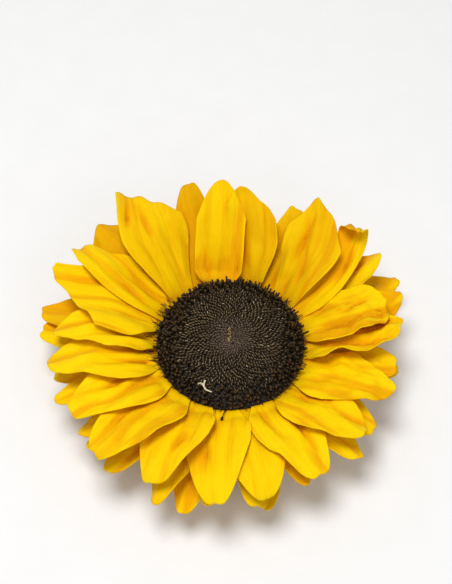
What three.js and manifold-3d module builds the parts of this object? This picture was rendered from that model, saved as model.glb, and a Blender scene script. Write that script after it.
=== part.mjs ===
// A cut sunflower head lying on its back with its dark disc turned up.
// Millimetres, +Z up. The origin is the middle of the flat cut face that the head rests on,
// and the head's axis is the Z axis. +Y points to the far side of the head.

import * as THREE from "three";
import { ConvexHull } from "three/addons/math/ConvexHull.js";
import { mergeVertices } from "three/addons/utils/BufferGeometryUtils.js";
import Module from "manifold-3d";

const wasm = await Module();
wasm.setup();

// Driving dimensions of the head
const discRadius = 31;
const discEdgeHeight = 24;
const discCrownHeight = 29;
const cutRadius = 8.5;
const receptacleRadius = 29.8;
const touchGap = 0.3;
const rayThickness = 0.8;
const bractThickness = 1.1;

// Heights of the seats that the disc and the rays' root band sit on
const bandFloor = 17.4;
const bandTop = 21.6;
const bandInnerRadius = 26.2;
const bandOuterRadius = 30;
const rayRootRadius = 28;

// Florets of the disc
const floretCount = 420;
const floretSpread = 29.6;
const goldenAngle = Math.PI * (3 - Math.sqrt(5));
const openZone = 22.5;

const degrees = Math.PI / 180;

// A small seeded random source, so that the head is the same each time.
function seeded(seed) {
  let state = seed;
  return (low, high) => {
    state = (state * 1664525 + 1013904223) % 4294967296;
    return low + ((high - low) * state) / 4294967296;
  };
}

function mix(a, b, share) {
  return a + (b - a) * share;
}

// Rises smoothly from 0 at low to 1 at high.
function ease(low, high, value) {
  const t = Math.min(1, Math.max(0, (value - low) / (high - low)));
  return t * t * (3 - 2 * t);
}

// Solids to and from manifold-3d

function toSolid(geometry) {
  const bare = geometry.clone();
  bare.deleteAttribute("normal");
  bare.deleteAttribute("uv");
  const merged = mergeVertices(bare, 1e-4);
  return new wasm.Manifold(
    new wasm.Mesh({
      numProp: 3,
      vertProperties: new Float32Array(merged.attributes.position.array),
      triVerts: new Uint32Array(merged.index.array),
    }),
  );
}

function toGeometry(solid) {
  const mesh = solid.getMesh();
  const geometry = new THREE.BufferGeometry();
  geometry.setAttribute("position", new THREE.BufferAttribute(mesh.vertProperties, mesh.numProp));
  geometry.setIndex(new THREE.BufferAttribute(mesh.triVerts, 1));
  geometry.computeVertexNormals();
  return geometry;
}

// Joins solids and drops the slivers and closed pockets that the joins leave.
function fuse(solids) {
  const joined = solids.reduce((whole, solid) => whole.add(solid)).simplify(0.03);
  const largest = joined.decompose().reduce((a, b) => (a.volume() > b.volume() ? a : b));
  return largest.simplify(0.1);
}

function indexed(positions, triangles) {
  const geometry = new THREE.BufferGeometry();
  geometry.setAttribute("position", new THREE.Float32BufferAttribute(positions, 3));
  geometry.setIndex(triangles);
  return geometry;
}

// A profile of [radius, height] points turned about the Z axis.
function turned(profile, segments) {
  const points = profile.map(([radius, height]) => new THREE.Vector2(radius, height));
  return new THREE.LatheGeometry(points, segments).rotateX(Math.PI / 2);
}

// Blades: rays and bracts

// The point, heading and climb at a share of the way out along a blade's midline.
function midline(leaf, share) {
  const steps = 24;
  const point = new THREE.Vector3(
    leaf.rootRadius * Math.cos(leaf.at * degrees),
    leaf.rootRadius * Math.sin(leaf.at * degrees),
    leaf.rootHeight,
  );
  let heading = 0;
  let climb = 0;
  for (let step = 0; step < steps; step++) {
    const here = (share * (step + 0.5)) / steps;
    heading = (leaf.at + leaf.skew + leaf.sweep * (here - 0.3)) * degrees;
    const climbing = mix(leaf.rise, leaf.fall, here) * ease(-0.08, 0.1, here);
    climb = (climbing + leaf.tip * ease(0.68, 1, here)) * degrees;
    const stride = (leaf.reach * share) / steps;
    point.x += stride * Math.cos(climb) * Math.cos(heading);
    point.y += stride * Math.cos(climb) * Math.sin(heading);
    point.z += stride * Math.sin(climb);
  }
  return { point, heading, climb };
}

// Puts a blade's cross-section on its midline: side and lift are measured across and square to it.
function onMidline(leaf, share, side, lift) {
  const { point, heading, climb } = midline(leaf, share);
  const across = new THREE.Vector3(-Math.sin(heading), Math.cos(heading), 0);
  const up = new THREE.Vector3(
    -Math.sin(climb) * Math.cos(heading),
    -Math.sin(climb) * Math.sin(heading),
    Math.cos(climb),
  );
  const roll = leaf.roll * ease(0.02, 0.25, share) * mix(1.4, 0.8, share) * degrees;
  return point
    .addScaledVector(across, side * Math.cos(roll) - lift * Math.sin(roll))
    .addScaledVector(up, side * Math.sin(roll) + lift * Math.cos(roll));
}

// How much of its reach a ray has at a place across it, so that its end is pointed, skewed or notched.
function rayEnd(ray, across) {
  const off = Math.abs(across - ray.shift) / (1 + Math.abs(ray.shift));
  return 1 - ray.point * off ** ray.sharp - ray.notch * Math.max(0, 1 - 4 * off);
}

// Half a ray's width at a share of the way out: a narrow claw, a broad limb, one side wider than the other.
function rayHalf(ray, share, across) {
  const limb = mix(ray.claw, 1, ease(0, ray.spread, share)) * (1 - ray.taper * ease(0.5, 1, share));
  return (ray.width / 2) * limb * (across > 0 ? ray.ahead : ray.behind);
}

// A ray's sheet, arched or hollow across, pleated and waved.
function raySheet(ray) {
  return (along, across) => {
    const edge = Math.abs(across);
    const share = mix(ray.heel * edge ** 2, rayEnd(ray, across), along);
    const half = rayHalf(ray, share, across);
    const bend = mix(8, ray.fold, ease(0.05, 0.4, share)) * degrees;
    const turn = across * bend;
    const side = Math.abs(bend) < 0.01 ? half * across : (half * Math.sin(turn)) / bend;
    const arch = Math.abs(bend) < 0.01 ? 0 : (half * (1 - Math.cos(turn))) / bend;
    const pleat = ray.pleat * Math.cos(3 * Math.PI * across) * ease(0.05, 0.3, share);
    const wave = Math.sin(2 * Math.PI * ray.waves * share + ray.phase + 1.7 * Math.sign(across));
    const ruffle = ray.ruffle * edge ** 2 * wave * ease(0.2, 0.6, share);
    return onMidline(ray, share, side, arch + pleat + ruffle);
  };
}

// A bract's sheet: broad at its root, keeled, and drawn out to a point.
function bractSheet(bract) {
  return (along, across) => {
    const outline = (1 - along ** 1.5) ** 1.15 * mix(0.7, 1, ease(0, 0.35, along));
    const half = Math.max(0.7, (bract.width / 2) * outline);
    const keel = 0.22 * half * Math.abs(across);
    return onMidline(bract, along, half * across, keel);
  };
}

// Thickens a sheet into a closed blade whose two faces are split alike. Nothing goes below the floor.
function blade(sheet, thickness, rows, columns) {
  const faces = { upper: [], lower: [] };
  const nudge = 0.01;
  for (let row = 0; row <= rows; row++) {
    for (let column = 0; column <= columns; column++) {
      const along = row / rows;
      const across = (2 * column) / columns - 1;
      const middle = sheet(along, across);
      const next = sheet(Math.min(1, along + nudge), across);
      const outward = next.sub(sheet(Math.max(0, along - nudge), across));
      const sideways = sheet(along, across + nudge).sub(sheet(along, across - nudge));
      const normal = outward.cross(sideways).normalize();
      const upper = middle.clone().addScaledVector(normal, thickness / 2);
      const lower = middle.clone().addScaledVector(normal, -thickness / 2);
      upper.z = Math.max(upper.z, thickness);
      lower.z = Math.max(lower.z, 0);
      faces.upper.push(...upper);
      faces.lower.push(...lower);
    }
  }
  const width = columns + 1;
  const under = (rows + 1) * width;
  const triangles = [];
  for (let row = 0; row < rows; row++) {
    for (let column = 0; column < columns; column++) {
      const a = row * width + column;
      const [b, c, d] = [a + 1, a + width, a + width + 1];
      triangles.push(a, c, d, a, d, b);
      triangles.push(a + under, d + under, c + under, a + under, b + under, d + under);
    }
  }
  const border = [];
  for (let column = 0; column < columns; column++) border.push(column);
  for (let row = 0; row < rows; row++) border.push(row * width + columns);
  for (let column = columns; column > 0; column--) border.push(rows * width + column);
  for (let row = rows; row > 0; row--) border.push(row * width);
  border.forEach((from, i) => {
    const to = border[(i + 1) % border.length];
    triangles.push(from, to, to + under, from, to + under, from + under);
  });
  return indexed([...faces.upper, ...faces.lower], triangles);
}

// Rays

const rayDefaults = {
  rootRadius: rayRootRadius,
  skew: 0,
  sweep: 0,
  claw: 0.48,
  tip: 0,
  roll: 0,
  fold: 10,
  pleat: 0.35,
  ruffle: 1.2,
  waves: 1.6,
  phase: 0,
  point: 0.56,
  sharp: 1.8,
  shift: 0,
  taper: 0,
  heel: 0,
  notch: 0.03,
  spread: 0.34,
  ahead: 1,
  behind: 1,
};

// The three tiers, from the top one that laps the disc down to the one that lies on the bracts.
const frontTier = { rootHeight: 20.05, lap: 1, rows: 8, columns: 6 };
const middleTier = { rootHeight: 19.3, lap: 0.6, rows: 6, columns: 4 };
const backTier = { rootHeight: 18.5, lap: 0.35, rows: 5, columns: 4 };

// Rays lap each other like tiles, down from the far one on both sides to the near one.
const topRayAngle = 102;
const lapRoll = 12;
const lapClimb = 3;

// The rays of the left side are longer than those of the right by twice this.
const leftward = 3;

// How a ray rolls to lie under one neighbour and over the other. The far ray lies over both and the
// near ray under both, so they climb more and less instead.
function lapping(at) {
  const turn = (((at - topRayAngle) % 360) + 360) % 360;
  const fromTop = Math.min(turn, 360 - turn);
  if (fromTop < 13) return { roll: 0, extraClimb: lapClimb };
  if (fromTop > 174) return { roll: 0, extraClimb: -lapClimb };
  return { roll: turn < 180 ? lapRoll : -lapRoll, extraClimb: 0 };
}

// Rays that stand out one by one, anticlockwise from the right:
// root angle, skew, sweep, reach, width, rise, fall, tip curl, fold, and what else sets one apart
const namedFrontRays = [
  [2, 1, 4, 47, 27, 34, -8, 25, 34, { point: 0.5, sharp: 2 }],
  [18, -11, 4, 42, 25, 33, 8, -25, 14, { point: 0.24, sharp: 2.8, claw: 0.42 }],
  [32, 9, 58, 51, 20, 27, 4, 10, 24, { point: 0.1, sharp: 2.6, taper: 0.36, behind: 0.65, roll: 4 }],
  [46, 12, 34, 52.5, 28, 38, 10, 0, 8, {
    point: 0.4, sharp: 1.3, shift: 0.1, notch: 0, claw: 0.42, spread: 0.62, ahead: 0.86, behind: 1.04,
  }],
  [76, 8, 30, 48.5, 22, 37, 14, 15, 22, { point: 0.36, sharp: 1.3, shift: 0.3, notch: 0, spread: 0.5 }],
  [102, -15, 4, 49.5, 21, 40, 14, 0, 12, {
    point: 0.36, sharp: 2, notch: 0, claw: 0.6, spread: 0.2, heel: 0.12,
  }],
  [131, -13, -18, 55, 32, 36, 6, -10, 2, {
    point: 0.24, sharp: 1.7, shift: 0.75, taper: 0.22, notch: 0, claw: 0.32, spread: 0.66,
  }],
  [147, 4, -34, 58, 25, 35, 3, -60, -12, { point: 0.5, sharp: 1.3, shift: 0.35, claw: 0.66, ahead: 0.64 }],
  [154, 19, 6, 56, 30, 35, -3, 12, 8, { point: 0.42, sharp: 1.05, shift: -0.8, claw: 0.3, ahead: 1.05 }],
  [170, 12, 22, 50, 26, 38, -6, 0, 8],
  [189, 2, 4, 52, 29, 40, -16, 4, 2],
];
const namedMiddleRays = [
  [-12, 6, 4, 43, 26, 16, -2, 5, 8],
  [8, 14, 6, 51, 27, 17, -1, 0, -8],
  [33, -2, 6, 51, 26, 16, 7, 15, 30, { sharp: 1.5 }],
  [61, 6, 12, 47, 24, 24, 13, 0, 8, { notch: 0.05 }],
  [88, -2, 4, 45, 20, 27, 8, 0, 6],
  [114, -16, 4, 54, 23, 20, 17, 0, 2, { point: 0.5, sharp: 1.7 }],
  [143, -12, 6, 53, 25, 18, 9, 0, 8, { point: 0.25, shift: 0.1, notch: 0 }],
  [165, 6, 4, 55, 24, 17, -8, 6, 4],
  [184, -14, 6, 54, 26, 14, -5, 0, 6],
];

function namedRays(tier, table) {
  return table.map(([at, skew, sweep, reach, width, rise, fall, tip, fold, more = {}], i) => ({
    ...rayDefaults, ...tier,
    at, skew, sweep, reach, width, rise, fall, tip, fold,
    phase: 2.4 * i, roll: tier.lap * lapping(at).roll, ...more,
  }));
}

// The rest of a tier's rays follow one another at an even step, each a little off its place.
function drawnRays(tier, seed, { first, last, count }, ranges) {
  const random = seeded(seed);
  return Array.from({ length: count }, (_, i) => {
    const at = mix(first, last, i / (count - 1)) + random(-2, 2);
    const { roll, extraClimb } = lapping(at);
    return {
      ...rayDefaults, ...tier, at,
      roll: tier.lap * roll,
      skew: random(-4, 4), sweep: random(-10, 10),
      reach: random(...ranges.reach) - leftward * Math.cos(at * degrees),
      width: random(...ranges.width),
      rise: random(...ranges.rise) + extraClimb,
      fall: random(...ranges.fall), tip: random(-12, 12),
      fold: random(-14, 17), phase: random(0, 6),
    };
  });
}

function rays() {
  const nearFront = drawnRays(frontTier, 393, { first: 207, last: 338, count: 8 }, {
    reach: [45, 51], width: [27, 30], rise: [39, 44], fall: [-22, -13],
  });
  const nearMiddle = drawnRays(middleTier, 184, { first: 198, last: 330, count: 9 }, {
    reach: [45, 50], width: [19, 22], rise: [13, 17], fall: [-9, -4],
  });
  const back = drawnRays(backTier, 37, { first: 24, last: 351, count: 11 }, {
    reach: [43, 48], width: [18, 21], rise: [-1, 2], fall: [-8, -1],
  });
  Object.assign(back[0], { skew: 8, reach: 56, width: 22 });
  return [
    ...namedRays(frontTier, namedFrontRays), ...nearFront,
    ...namedRays(middleTier, namedMiddleRays), ...nearMiddle,
    ...back,
  ];
}

function rayPetals() {
  const rootBand = turned(
    [
      [bandInnerRadius, bandFloor + touchGap],
      [bandOuterRadius, bandFloor + touchGap],
      [bandOuterRadius, bandTop],
      [bandInnerRadius, bandTop],
      [bandInnerRadius, bandFloor + touchGap],
    ],
    40,
  );
  const blades = rays().map((ray) =>
    toSolid(blade(raySheet(ray), rayThickness, ray.rows, ray.columns)),
  );
  return toGeometry(fuse([toSolid(rootBand), ...blades]));
}

// Receptacle with its bracts

const bractRings = [
  { count: 13, turn: 4, rootRadius: 20, rootHeight: 8.6, reach: 32, width: 13, rise: -6, fall: -23 },
  { count: 13, turn: 18, rootRadius: 26, rootHeight: 13.8, reach: 31, width: 14, rise: -4, fall: -20 },
];

function receptacle() {
  const body = turned(
    [
      [0, 0],
      [cutRadius, 0],
      [cutRadius + 0.4, 3],
      [12, 6],
      [18.5, 8.6],
      [25.5, 12],
      [29, 15.2],
      [receptacleRadius, bandFloor],
      [bandInnerRadius - touchGap, bandFloor],
      [bandInnerRadius - touchGap, bandTop],
      [0, bandTop],
    ],
    34,
  );
  const random = seeded(5);
  const bracts = bractRings.flatMap(({ count, turn, ...shape }) =>
    Array.from({ length: count }, (_, i) => {
      const bract = {
        ...shape,
        at: turn + (360 * i) / count + random(-3, 3),
        skew: random(-6, 6),
        sweep: random(-16, 16),
        tip: random(0, 10),
        roll: random(-6, 6),
        reach: shape.reach + random(-3, 2),
      };
      return toSolid(blade(bractSheet(bract), bractThickness, 5, 2));
    }),
  );
  return toGeometry(fuse([toSolid(body), ...bracts]));
}

// Disc of florets

function domeHeight(radius) {
  const share = Math.min(1, radius / discRadius);
  const dip = 0.9 * Math.exp(-((radius / 5) ** 2));
  return discCrownHeight - dip - (discCrownHeight - discEdgeHeight) * share ** 4;
}

// Florets on the crossing spirals of a real head. Those near the rim are open, taller and lean outwards.
function discFlorets() {
  const random = seeded(3);
  const rimPoints = 60;
  const sites = [];
  for (let i = 0; i < floretCount; i++) {
    const radius = floretSpread * Math.sqrt((i + 0.5) / floretCount);
    const open = ease(openZone, openZone + 2.5, radius);
    sites.push({
      radius,
      angle: i * goldenAngle,
      lean: 1.3 * open,
      lift: mix(0.55, random(1.3, 2.6), open),
    });
  }
  for (let i = 0; i < rimPoints; i++) {
    sites.push({ radius: discRadius, angle: (2 * Math.PI * i) / rimPoints, lean: 0, lift: 0 });
  }

  // The lower hull of the sites lifted onto a bowl is their triangulation.
  const index = new Map();
  const lifted = sites.map(({ radius, angle }, i) => {
    const point = new THREE.Vector3(
      radius * Math.cos(angle), radius * Math.sin(angle), radius ** 2 / discRadius,
    );
    index.set(point, i);
    return point;
  });
  const cells = [];
  for (const face of new ConvexHull().setFromPoints(lifted).faces) {
    if (face.normal.z > -1e-6) continue;
    const corners = [face.edge, face.edge.next, face.edge.next.next];
    cells.push(corners.map((edge) => index.get(edge.head().point)).reverse());
  }

  const tops = sites.map(({ radius, angle, lean, lift }) => [
    (radius + lean) * Math.cos(angle),
    (radius + lean) * Math.sin(angle),
    domeHeight(radius) + lift,
  ]);
  const positions = tops.flat();
  const triangles = [];
  for (const cell of cells) {
    const [x, y] = [0, 1].map((axis) => cell.reduce((sum, i) => sum + lifted[i].toArray()[axis], 0) / 3);
    const valley = positions.length / 3;
    positions.push(x, y, domeHeight(Math.hypot(x, y)) - 0.35);
    cell.forEach((from, i) => triangles.push(from, cell[(i + 1) % 3], valley));
  }

  // The flank under the rim and the flat seat close the solid.
  const seatRadius = discRadius - 2;
  const seatHeight = bandTop + touchGap;
  const seat = positions.length / 3;
  for (let i = 0; i < rimPoints; i++) {
    const angle = (2 * Math.PI * i) / rimPoints;
    positions.push(seatRadius * Math.cos(angle), seatRadius * Math.sin(angle), seatHeight);
  }
  const centre = positions.length / 3;
  positions.push(0, 0, seatHeight);
  for (let i = 0; i < rimPoints; i++) {
    const next = (i + 1) % rimPoints;
    const [rim, rimNext] = [floretCount + i, floretCount + next];
    triangles.push(rim, seat + next, rimNext, rim, seat + i, seat + next);
    triangles.push(centre, seat + next, seat + i);
  }
  return indexed(positions, triangles);
}

// The head

function named(name, geometry, color, roughness) {
  const material = new THREE.MeshStandardMaterial({ color, roughness, metalness: 0 });
  const mesh = new THREE.Mesh(geometry, material);
  mesh.name = name;
  return mesh;
}

const head = new THREE.Group();
head.add(
  named("receptacle", receptacle(), 0x6f8a3c, 0.75),
  named("ray_petals", rayPetals(), 0xf5ba05, 0.55),
  named("disc_florets", discFlorets(), 0x3d2c1c, 0.85),
);

export default head;
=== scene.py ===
# A cut sunflower head lying on its back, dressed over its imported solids.
# Metres in Blender. The plans below are in millimetres and degrees, as the solids are.
import math

import bpy
from mathutils import Matrix, Vector, noise
from mathutils.bvhtree import BVHTree


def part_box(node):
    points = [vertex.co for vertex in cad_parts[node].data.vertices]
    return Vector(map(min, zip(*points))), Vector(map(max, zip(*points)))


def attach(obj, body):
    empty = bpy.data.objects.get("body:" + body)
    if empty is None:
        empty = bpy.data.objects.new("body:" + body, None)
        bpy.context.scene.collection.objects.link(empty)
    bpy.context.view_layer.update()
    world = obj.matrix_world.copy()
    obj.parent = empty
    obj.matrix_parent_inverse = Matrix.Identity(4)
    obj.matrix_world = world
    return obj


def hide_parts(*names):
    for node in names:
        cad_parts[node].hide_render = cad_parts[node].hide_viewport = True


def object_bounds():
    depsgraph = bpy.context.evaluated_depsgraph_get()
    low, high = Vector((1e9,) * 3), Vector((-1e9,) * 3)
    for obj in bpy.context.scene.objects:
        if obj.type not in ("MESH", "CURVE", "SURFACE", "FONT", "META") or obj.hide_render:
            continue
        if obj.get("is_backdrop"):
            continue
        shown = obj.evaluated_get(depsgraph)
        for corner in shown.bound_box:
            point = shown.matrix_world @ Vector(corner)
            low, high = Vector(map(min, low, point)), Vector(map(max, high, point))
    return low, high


print("loading the solids")
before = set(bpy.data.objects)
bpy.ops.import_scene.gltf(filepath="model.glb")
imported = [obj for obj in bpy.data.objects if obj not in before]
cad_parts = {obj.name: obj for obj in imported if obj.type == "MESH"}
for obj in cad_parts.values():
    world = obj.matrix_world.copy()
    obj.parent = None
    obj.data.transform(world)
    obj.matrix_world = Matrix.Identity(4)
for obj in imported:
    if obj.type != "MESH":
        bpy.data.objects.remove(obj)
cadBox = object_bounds()

mm = 0.001
degree = math.pi / 180
goldenAngle = math.pi * (3 - math.sqrt(5))
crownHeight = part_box("disc_florets")[1].z / mm  # top of the disc's relief
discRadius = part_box("disc_florets")[1].x / mm


def seeded(seed):
    # the same small random source as the solids use, so that the same rays come out
    state = seed

    def draw(low, high):
        nonlocal state
        state = (state * 1664525 + 1013904223) % 4294967296
        return low + (high - low) * state / 4294967296

    return draw


def mix(a, b, share):
    return a + (b - a) * share


def ease(low, high, value):
    t = min(1.0, max(0.0, (value - low) / (high - low)))
    return t * t * (3 - 2 * t)


def hump(low, middle, high, value):
    # rises from 0 at low to 1 at middle and falls to 0 at high
    return ease(low, middle, value) * (1 - ease(middle, high, value))


# Objects


def deselectAll():
    if bpy.context.object and bpy.context.object.mode != "OBJECT":
        bpy.ops.object.mode_set(mode="OBJECT")
    bpy.ops.object.select_all(action="DESELECT")


def pick(obj):
    deselectAll()
    obj.select_set(True)
    bpy.context.view_layer.objects.active = obj


def applyPlace(obj):
    pick(obj)
    bpy.ops.object.transform_apply(location=True, rotation=True, scale=True)


def modify(obj, kind, **settings):
    # adds a modifier, sets it and applies it
    pick(obj)
    modifier = obj.modifiers.new(kind.title(), kind)
    for name, value in settings.items():
        setattr(modifier, name, value)
    bpy.ops.object.modifier_apply(modifier=modifier.name)


def copyOf(master, matrix, tone=0.5):
    # one more of what repeats, with its own mesh in its place and its own tone of colour
    mesh = master.data.copy()
    mesh.transform(matrix)
    setTone(mesh, tone)
    obj = bpy.data.objects.new(master.name, mesh)
    bpy.context.collection.objects.link(obj)
    return obj


def setTone(mesh, tone):
    attribute = mesh.attributes.get("tone") or mesh.attributes.new("tone", "FLOAT", "POINT")
    attribute.data.foreach_set("value", [tone] * len(mesh.vertices))


def joinAs(name, objects):
    deselectAll()
    for obj in objects:
        obj.select_set(True)
    bpy.context.view_layer.objects.active = objects[0]
    if len(objects) > 1:
        bpy.ops.object.join()
    whole = bpy.context.view_layer.objects.active
    whole.name = name
    whole.data.name = name
    return whole


def discard(*objects):
    for obj in objects:
        mesh = obj.data
        bpy.data.objects.remove(obj)
        bpy.data.meshes.remove(mesh)


def smooth(obj, angle=None):
    pick(obj)
    if angle is None:
        bpy.ops.object.shade_smooth()
    else:
        bpy.ops.object.shade_smooth_by_angle(angle=angle * degree)


def selectFaces(mesh, test):
    # in object mode, leaves selected just the faces that pass the test
    for vertex in mesh.vertices:
        vertex.select = False
    for edge in mesh.edges:
        edge.select = False
    for face in mesh.polygons:
        face.select = test(face)


def makeStrand(name, points, thickness):
    # a thin round strand through the points, tapered to its end
    bpy.ops.curve.primitive_nurbs_path_add()
    strand = bpy.context.object
    strand.name = name
    curve = strand.data
    path = curve.splines[0]
    path.points.add(len(points) - len(path.points))
    for i, point in enumerate(points):
        path.points[i].co = (*(Vector(point) * mm), 1)
        path.points[i].radius = 1 - 0.4 * i / (len(points) - 1)
    path.use_endpoint_u = True
    path.resolution_u = 2
    curve.bevel_depth = thickness / 2 * mm
    curve.bevel_resolution = 0
    curve.use_fill_caps = True
    pick(strand)
    bpy.ops.object.convert(target="MESH")
    return bpy.context.object


def handIn(piece, node):
    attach(piece, "root")
    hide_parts(node)


# Shader nodes


class Wire:
    # an output socket; arithmetic on it adds Math nodes
    def __init__(self, finish, socket):
        self.finish = finish
        self.socket = socket

    def math(self, operation, first, second):
        return self.finish.add("ShaderNodeMath", {"operation": operation}, {0: first, 1: second})

    def __add__(self, other):
        return self.math("ADD", self, other)

    __radd__ = __add__

    def __sub__(self, other):
        return self.math("SUBTRACT", self, other)

    def __rsub__(self, other):
        return self.math("SUBTRACT", other, self)

    def __mul__(self, other):
        return self.math("MULTIPLY", self, other)

    __rmul__ = __mul__

    def __pow__(self, other):
        return self.math("POWER", self, other)

    def between(self, low, high):
        # 0 at low and under, 1 at high and over
        settings = {"interpolation_type": "SMOOTHSTEP"}
        return self.finish.add("ShaderNodeMapRange", settings, {0: self, 1: low, 2: high})


class Finish:
    # a material and the nodes that make it
    def __init__(self, name, **shader):
        self.material = bpy.data.materials.new(name)
        self.material.use_nodes = True
        self.tree = self.material.node_tree
        self.tree.nodes.clear()
        self.shader = self.add("ShaderNodeBsdfPrincipled", {}, shader).socket.node
        surface = Wire(self, self.shader.outputs[0])
        self.add("ShaderNodeOutputMaterial", {}, {"Surface": surface})

    def add(self, kind, settings, inputs, output=0):
        node = self.tree.nodes.new(kind)
        for name, value in settings.items():
            setattr(node, name, value)
        for name, value in inputs.items():
            self.set(node, name, value)
        return Wire(self, node.outputs[output]) if node.outputs else None

    def set(self, node, name, value):
        if isinstance(value, Wire):
            self.tree.links.new(value.socket, node.inputs[name])
        elif isinstance(value, tuple) and node.inputs[name].type == "RGBA":
            node.inputs[name].default_value = (*value, 1)
        else:
            node.inputs[name].default_value = value

    def feed(self, **values):
        # Base_Color=wire feeds the shader's Base Color
        for name, value in values.items():
            self.set(self.shader, name.replace("_", " "), value)

    def blend(self, a, b, share):
        return self.add("ShaderNodeMix", {"data_type": "RGBA"}, {0: share, 6: a, 7: b}, 2)

    def objectPlace(self):
        return self.add("ShaderNodeTexCoord", {}, {}, "Object")

    def attribute(self, name):
        return self.add("ShaderNodeAttribute", {"attribute_name": name}, {}, "Fac")

    def parts(self, vector):
        node = self.add("ShaderNodeSeparateXYZ", {}, {0: vector}).socket.node
        return [Wire(self, output) for output in node.outputs]

    def sheetPlace(self):
        # how far along a blade, and how far across it
        return self.parts(self.add("ShaderNodeUVMap", {"uv_map": "UVMap"}, {}))[:2]

    def axisDistance(self):
        # how far from the head's axis, in metres
        x, y = self.parts(self.objectPlace())[:2]
        return (x * x + y * y) ** 0.5

    def vector(self, x, y, z):
        return self.add("ShaderNodeCombineXYZ", {}, {0: x, 1: y, 2: z})

    def noise(self, place, scale, detail=2.0, roughness=0.5):
        inputs = {"Vector": place, "Scale": scale, "Detail": detail, "Roughness": roughness}
        return self.add("ShaderNodeTexNoise", {}, inputs)

    def bump(self, height, distance, strength):
        inputs = {"Height": height, "Distance": distance, "Strength": strength}
        return self.add("ShaderNodeBump", {}, inputs)


# Camera, floor and light

print("camera, floor and light")

view = {
    "imageSize": (452, 584),
    "crownPixel": (230.7, 338.1),  # where the middle of the disc shows
    "pixelSize": 0.413,  # millimetres at the crown
    "elevation": 60,
    "distance": 520,
    "sensor": 36,
}


def makeCamera():
    elevation = view["elevation"] * degree
    crown = Vector((0, 0, crownHeight - 1.2)) * mm
    back = Vector((0, -math.cos(elevation), math.sin(elevation)))
    upward = Vector((0, math.sin(elevation), math.cos(elevation)))
    width, height = view["imageSize"]
    right = (view["crownPixel"][0] - width / 2) * view["pixelSize"] * mm
    down = (view["crownPixel"][1] - height / 2) * view["pixelSize"] * mm
    place = crown + back * view["distance"] * mm
    aim = crown - Vector((right, 0, 0)) + upward * down
    turn = (aim - place).to_track_quat("-Z", "Y").to_euler()
    bpy.ops.object.camera_add(location=place, rotation=turn)
    camera = bpy.context.object
    camera.data.sensor_width = view["sensor"]
    camera.data.lens = view["sensor"] * view["distance"] / (height * view["pixelSize"])
    camera.data.clip_start = 0.01
    bpy.context.scene.camera = camera


lights = {
    "key": {"place": (-0.14, 0.02, 0.98), "size": 0.45, "power": 6.9},
    "fill": {"place": (0.4, -0.7, 0.6), "size": 0.9, "power": 1.65},
    "sky": 0.36,
}


def makeLight(name):
    plan = lights[name]
    place = Vector(plan["place"])
    turn = place.to_track_quat("Z", "Y").to_euler()
    bpy.ops.object.light_add(type="AREA", location=place, rotation=turn)
    lamp = bpy.context.object
    lamp.name = name
    lamp.data.shape = "DISK"
    lamp.data.size = plan["size"]
    lamp.data.energy = plan["power"]


def makeFloor():
    bpy.ops.mesh.primitive_plane_add(size=3)
    floor = bpy.context.object
    floor.name = "floor"
    finish = Finish("paleFloor", Roughness=0.7)
    grain = finish.noise(finish.objectPlace(), 60)
    finish.feed(Base_Color=finish.blend((0.86, 0.86, 0.85), (0.9, 0.9, 0.9), grain))
    floor.data.materials.append(finish.material)
    floor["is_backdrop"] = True


def makeSky():
    world = bpy.data.worlds.new("softSky")
    world.use_nodes = True
    world.node_tree.nodes["Background"].inputs["Color"].default_value = (1, 1, 1, 1)
    world.node_tree.nodes["Background"].inputs["Strength"].default_value = lights["sky"]
    bpy.context.scene.world = world
    bpy.context.scene.view_settings.view_transform = "Standard"


makeCamera()
makeLight("key")
makeLight("fill")
makeFloor()
makeSky()

# Blades: rays and bracts are sheets on a midline


class Midline:
    # the curve that a blade follows, walked once and then looked up
    steps = 240

    def __init__(self, leaf):
        self.leaf = leaf
        stride = leaf["reach"] / self.steps
        at = leaf["at"] * degree
        point = Vector((math.cos(at), math.sin(at), 0)) * leaf["rootRadius"]
        point.z = leaf["rootHeight"]
        self.points = [point.copy()]
        for step in range(self.steps):
            heading, climb = self.direction((step + 0.5) / self.steps)
            level = math.cos(climb)
            onward = (level * math.cos(heading), level * math.sin(heading), math.sin(climb))
            point += Vector(onward) * stride
            self.points.append(point.copy())

    def direction(self, share):
        leaf = self.leaf
        heading = leaf["at"] + leaf["skew"] + leaf["sweep"] * (share - 0.3)
        climb = mix(leaf["rise"], leaf["fall"], share) * ease(-0.08, 0.1, share)
        climb += leaf["tip"] * ease(0.68, 1, share) + leaf["flick"] * ease(leaf["flickFrom"], 1, share)
        return heading * degree, climb * degree

    def place(self, share, side, lift):
        leaf = self.leaf
        position = min(share, 1) * self.steps
        low = min(int(position), self.steps - 1)
        point = self.points[low].lerp(self.points[low + 1], position - low)
        heading, climb = self.direction(share)
        across = Vector((-math.sin(heading), math.cos(heading), 0))
        tilt = math.sin(climb)
        up = Vector((-tilt * math.cos(heading), -tilt * math.sin(heading), math.cos(climb)))
        roll = leaf["roll"] * ease(0.02, 0.25, share) * mix(1.4, 0.8, share)
        roll = (roll + leaf["twist"] * ease(0.4, 1, share)) * degree
        sine, cosine = math.sin(roll), math.cos(roll)
        return point + across * (side * cosine - lift * sine) + up * (side * sine + lift * cosine)


def makeBlank(name, rows, columns):
    # a flat sheet one unit long and one across, with its own UV map along and across
    bpy.ops.mesh.primitive_grid_add(x_subdivisions=rows, y_subdivisions=columns, size=1)
    blank = bpy.context.object
    blank.name = name
    return blank


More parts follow.
